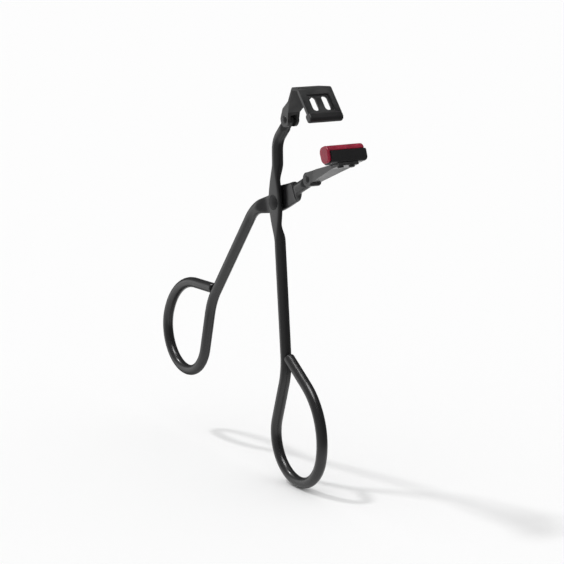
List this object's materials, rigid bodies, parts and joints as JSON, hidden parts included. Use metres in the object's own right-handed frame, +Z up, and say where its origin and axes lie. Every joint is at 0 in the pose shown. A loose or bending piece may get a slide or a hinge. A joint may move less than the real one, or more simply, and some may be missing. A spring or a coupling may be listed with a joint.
{
  "type": "eyelash curler",
  "caption": "Hand-held eyelash curler: two crossed wire handles with finger loops, a folded upper jaw with a pressing bar and a lower trough holding a removable rubber pad.",
  "frame": {"origin": "centre of the front finger loop's bowl, in the plane of the handles", "axes": "+Z up from the front finger loop to the jaws, +X towards the jaws' open side, Y along every hinge"},
  "size_m": [0.0976, 0.012, 0.1089],
  "materials": {
    "black_lacquered_steel": "satin black lacquer",
    "red_rubber": "smooth matt silicone rubber"
  },
  "bodies": {
    "front": {"front_handle": "black_lacquered_steel", "pivot_rivet": "black_lacquered_steel", "pivot_washer": "black_lacquered_steel"},
    "rear": {"rear_handle": "black_lacquered_steel"},
    "upper_head": {"upper_jaw_frame": "black_lacquered_steel", "pressing_bar": "black_lacquered_steel", "upper_hinge_pin": "black_lacquered_steel"},
    "lower_head": {"lower_bracket": "black_lacquered_steel", "pad_trough": "black_lacquered_steel", "trough_rivets": "black_lacquered_steel", "lower_hinge_pin": "black_lacquered_steel"},
    "pad": {"rubber_pad": "red_rubber"}
  },
  "joints": [
    {"name": "scissor", "type": "hinge", "parent": "front", "child": "rear", "pos_m": [-0.0105, 0, 0.0638], "axis": [0, -1, 0], "range_deg": [-16, 13.2]},
    {"name": "upper_swivel", "type": "hinge", "parent": "front", "child": "upper_head", "pos_m": [-0.0047, 0, 0.0865], "axis": [0, -1, 0], "range_deg": [-6, 6]},
    {"name": "lower_swivel", "type": "hinge", "parent": "rear", "child": "lower_head", "pos_m": [0.0062, 0, 0.0721], "axis": [0, -1, 0], "range_deg": [-6, 6]},
    {"name": "pad_slide", "type": "slide", "parent": "lower_head", "child": "pad", "axis": [0, -1, 0], "range_m": [0, 0.0105]}
  ],
  "couplings": [
    {"joint": "upper_swivel", "follows": "scissor", "ratio": 0.35},
    {"joint": "lower_swivel", "follows": "scissor", "ratio": 0.35}
  ]
}
